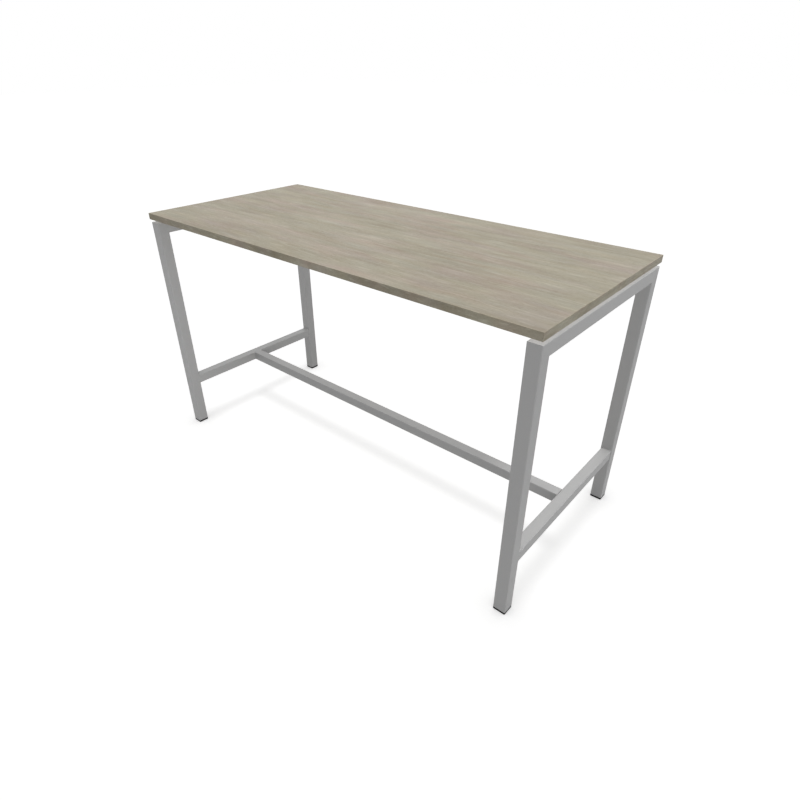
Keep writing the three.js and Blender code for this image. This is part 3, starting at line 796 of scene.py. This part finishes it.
def band(length, thickness, height, end_rounding):
    """A strip's section carried along its length. The section is flat inside and rounded at its
    two outer arrises; at a rounded end it thins by one less the cosine while the run slows to the
    sine. Both ends close on a point in the middle of the section."""
    arc = np.linspace(-np.pi / 2, 0, ARC_STEPS + 1)
    lower = BAND_ROUNDING * np.stack([np.cos(arc), np.sin(arc)], axis=1)
    upper = lower[::-1] * (1, -1)
    reach = thickness - BAND_ROUNDING
    section = np.concatenate([[[0, 0]], lower + (reach, BAND_ROUNDING),
                              upper + (reach, height - BAND_ROUNDING), [[0, height]]])
    turn = np.linspace(0, np.pi / 2, ARC_STEPS + 1) if end_rounding else np.zeros(1)
    run = length / 2 - end_rounding * (1 - np.sin(turn))
    thin = 1 - end_rounding * (1 - np.cos(turn)) / thickness
    run = np.concatenate([-run[::-1], run])
    thin = np.concatenate([thin[::-1], thin])
    outward = thin[:, None] * section[:, 0]
    upward = np.broadcast_to(section[:, 1], outward.shape)
    along = np.broadcast_to(run[:, None], outward.shape)
    rings = np.stack([outward, upward, along], axis=2)
    caps = np.broadcast_to(rings[[0, -1]].mean(axis=1, keepdims=True), (2, *rings.shape[1:]))
    rings = np.concatenate([caps[:1], rings, caps[1:]])
    grid = np.arange(rings[..., 0].size).reshape(rings.shape[:2])
    return rings.reshape(-1, 3), ladder(grid[:-1], grid[1:])


long_edging = oak_material("oak_edging", EDGING_COLOUR, LONG_CONTRAST, stretch=LONG_STRETCH)
end_edging = oak_material("oak_end_edging", EDGING_COLOUR, END_CONTRAST, QUARTER_TURN, END_STRETCH)
for side, outward, edging, end_rounding in (
    ("front", (0.0, -1.0, 0.0), long_edging, ROUNDED_END),
    ("rear", (0.0, 1.0, 0.0), long_edging, ROUNDED_END),
    ("left", (-1.0, 0.0, 0.0), end_edging, SQUARE_END),
    ("right", (1.0, 0.0, 0.0), end_edging, SQUARE_END),
):
    name = f"{side}_edge_band"
    low, high = node_box(name)
    outward = np.array(outward)
    axes = np.stack([outward, UPWARD, np.cross(outward, UPWARD)])
    thickness, _, length = np.abs(axes) @ (high - low)
    inner = np.where(outward < 0, high, low) * np.abs(outward)
    points, faces = band(length, thickness, high[2] - low[2], end_rounding)
    add_piece(f"{name}_strip", points @ axes + inner + low * UPWARD, faces, edging, name)


# Top screws: zinc-plated pan-head chipboard screws. They are driven up through the rails, the
# beams and the spacers into the underside of the panel.
SCREW_RADIUS, SCREW_PITCH = 2.5, 2.2
SCREW_HEAD_RADIUS, SCREW_HEAD_HEIGHT = 5.0, 3.0
SCREW_KEY = 4.0
PLAIN_SHANK = 4.0
POINT_LENGTH = 4.0
for site in SITES:
    name = f"{site}_top_screw"
    low, high = node_box(name)
    length = high[2] - low[2] - SCREW_HEAD_HEIGHT
    profile = socket_head(SCREW_KEY, SCREW_HEAD_RADIUS, SCREW_HEAD_HEIGHT)
    profile.append((SCREW_RADIUS, 0.0))
    shank = thread(PLAIN_SHANK, length, SCREW_RADIUS, SCREW_PITCH, SCREW_PITCH)
    taper = [np.clip((length - height) / POINT_LENGTH, 0, 1) for _, height in shank]
    profile += [(radius * share, height) for (radius, height), share in zip(shank, taper)]
    points, faces = turned(profile)
    middle = (low + high) / 2 * (1, 1, 0) + (0, 0, low[2] + SCREW_HEAD_HEIGHT)
    add_piece(f"{name}_point_up", points + middle, faces, zinc, name)


# Studio: a plain pale floor that runs out to a white background. It stays under the lowest foot, and
# from below one sees through it. Even light from above lays soft shadows of the lower frame on it and
# of the rails on the bars, soft boxes light the table, and the camera stands off the front right corner.
FLOOR_REACH = 30.0
FLOOR_DROP = 0.0001
FLOOR_BOUNCE = 0.887
FLOOR_GLOW = 0.628
FLOOR_SHADOW = 0.85
# The floor's glow is darkened round the feet by ambient occlusion within this reach, by up to this share: a
# painted contact shadow.
CONTACT_REACH = 0.15
CONTACT_SHADE = 0.46
FILL = 0.2
WHITE = 1.0
SENSOR_WIDTH, CAMERA_LENS = 36.0, 25.664
CAMERA_PLACE = (1.4372, -1.5447, 1.5658)
CAMERA_DOWN, CAMERA_TURN = np.radians(31.2872), np.radians(40.5597)
table_pieces = [piece for piece in bpy.context.scene.objects if piece.type == "MESH"]


def pieces_with(name, *words):
    """A collection of the table's pieces that have one of the words in their names."""
    held = bpy.data.collections.new(name)
    for piece in table_pieces:
        if any(word in piece.name for word in words):
            held.objects.link(piece)
    return held


def seen_directly(tree):
    """One for rays from the camera, and for those that gloss or glass sends on."""
    path = wire(tree, "ShaderNodeLightPath")
    rays = [path.outputs[f"Is {kind} Ray"] for kind in ("Camera", "Glossy", "Transmission")]
    first = wire(tree, "ShaderNodeMath", {0: rays[0], 1: rays[1]}, operation="MAXIMUM").outputs[0]
    return wire(tree, "ShaderNodeMath", {0: first, 1: rays[2]}, operation="MAXIMUM").outputs[0]


floor_mesh = bpy.data.meshes.new("studio_floor")
corners = FLOOR_REACH * np.array([[-1, -1, 0], [1, -1, 0], [1, 1, 0], [-1, 1, 0]]) - (0, 0, FLOOR_DROP)
floor_mesh.from_pydata(corners.tolist(), [], [[0, 1, 2, 3]])
floor = bpy.data.objects.new("studio_floor", floor_mesh)
bpy.context.scene.collection.objects.link(floor)
floor_paint = bpy.data.materials.new("pale_floor")
floor_paint.use_nodes = True
floor_tree = floor_paint.node_tree
floor_tree.nodes.clear()
# Painted contact shadow: ambient occlusion from the nearby legs dims the floor's glow round each foot.
contact = wire(floor_tree, "ShaderNodeAmbientOcclusion", {"Distance": CONTACT_REACH}).outputs["AO"]
glow_level = spread(floor_tree, contact, 0.0, 1.0, FLOOR_GLOW * (1 - CONTACT_SHADE), FLOOR_GLOW)
glow = wire(floor_tree, "ShaderNodeEmission", {"Strength": glow_level})
shadow = wire(floor_tree, "ShaderNodeBsdfDiffuse", {"Color": (FLOOR_SHADOW,) * 3 + (1,)})
seen = wire(floor_tree, "ShaderNodeAddShader", {0: glow.outputs[0], 1: shadow.outputs[0]})
bounce = wire(floor_tree, "ShaderNodeBsdfDiffuse", {"Color": (FLOOR_BOUNCE,) * 3 + (1,)})
surface = wire(floor_tree, "ShaderNodeMixShader",
               {0: seen_directly(floor_tree), 1: bounce.outputs[0], 2: seen.outputs[0]})
from_below = wire(floor_tree, "ShaderNodeNewGeometry").outputs["Backfacing"]
nothing = wire(floor_tree, "ShaderNodeBsdfTransparent")
one_sided = wire(floor_tree, "ShaderNodeMixShader",
                 {0: from_below, 1: surface.outputs[0], 2: nothing.outputs[0]})
wire(floor_tree, "ShaderNodeOutputMaterial", {"Surface": one_sided.outputs[0]})
floor_mesh.materials.append(floor_paint)
for end in ENDS:
    for side in SIDES:
        under_foot = floor.constraints.new("FLOOR")
        under_foot.target = frame["bodies"][f"{end}_{side}_foot"]
        under_foot.floor_location = "FLOOR_NEGATIVE_Z"

world = bpy.data.worlds.new("studio")
bpy.context.scene.world = world
world.use_nodes = True
sky = world.node_tree
sky.nodes.clear()
fill = wire(sky, "ShaderNodeBackground", {"Strength": FILL})
white = wire(sky, "ShaderNodeBackground", {"Strength": WHITE})
for background in (fill, white):
    background.inputs["Color"].default_value = (1, 1, 1, 1)
backdrop = wire(sky, "ShaderNodeMixShader",
                {0: seen_directly(sky), 1: fill.outputs[0], 2: white.outputs[0]})
wire(sky, "ShaderNodeOutputWorld", {"Surface": backdrop.outputs[0]})


def add_light(name, kind, power, place, target):
    """A lamp of one kind that looks from its place at the target. The camera does not see it."""
    light = bpy.data.objects.new(name, bpy.data.lights.new(name, kind))
    light.data.energy = power
    bpy.context.scene.collection.objects.link(light)
    light.location = place
    aim = type(light.location)(target) - light.location
    light.rotation_euler = aim.to_track_quat("-Z", "Y").to_euler()
    light.visible_camera = False
    light.visible_glossy = False
    return light


whole_table = pieces_with("whole_table", "")
lower_frame = pieces_with("lower_frame", "leg", "crossbar", "stretcher", "pad")
whole_frame = pieces_with("whole_frame", "leg", "crossbar", "stretcher", "pad", "top_rail")
only_floor = bpy.data.collections.new("only_floor")
only_floor.objects.link(floor)
left_end = pieces_with("left_end", "left_")
right_bars = pieces_with("right_bars", "right_top_rail", "right_crossbar")
stretcher = pieces_with("stretcher", "foot_stretcher")
for name, power, width, lit, blocked_by in (
    ("floor_even_light", 0.917, 22.0, only_floor, lower_frame),
    ("table_even_light", 1.25, 30.5, whole_table, whole_frame),
):
    even_light = add_light(name, "SUN", power, (0, 0, 5), (0, 0, 0))
    even_light.data.angle = np.radians(width)
    even_light.light_linking.receiver_collection = lit
    even_light.light_linking.blocker_collection = blocked_by
for name, power, width, place, target, lit, blocked_by in (
    ("overhead_light", 39.0, 2.4, (0.2, 0.1, 4.3), (0, 0, 1), whole_table, None),
    ("right_light", 9.0, 2.4, (4.2, -0.8, 1.4), (0.8, 0, 0.6), whole_table, None),
    ("front_right_light", 16.8, 1.8, (3.0, -3.5, 1.5), (0, 0, 0.6), whole_table, None),
    ("left_end_light", 1.4, 0.4, (-0.1, -0.8, 0.5), (-0.85, -0.2, 0.5), left_end, None),
    ("right_bar_light", 30.0, 1.5, (0.7, 0, 3.5), (0.85, 0, 1), right_bars, lower_frame),
    ("stretcher_end_light", 31.0, 0.62, (1.95, 0, 3.5), (0.75, 0, 0.25), stretcher, None),
):
    soft_box = add_light(name, "AREA", power, place, target)
    soft_box.data.shape = "SQUARE"
    soft_box.data.size = width
    soft_box.light_linking.receiver_collection = lit
    soft_box.light_linking.blocker_collection = blocked_by

camera_data = bpy.data.cameras.new("studio_camera")
camera_data.sensor_width = SENSOR_WIDTH
camera_data.lens = CAMERA_LENS
camera = bpy.data.objects.new("studio_camera", camera_data)
bpy.context.scene.collection.objects.link(camera)
camera.location = CAMERA_PLACE
camera.rotation_euler = (np.pi / 2 - CAMERA_DOWN, 0.0, CAMERA_TURN)
bpy.context.scene.camera = camera
bpy.context.scene.view_settings.view_transform = "Standard"
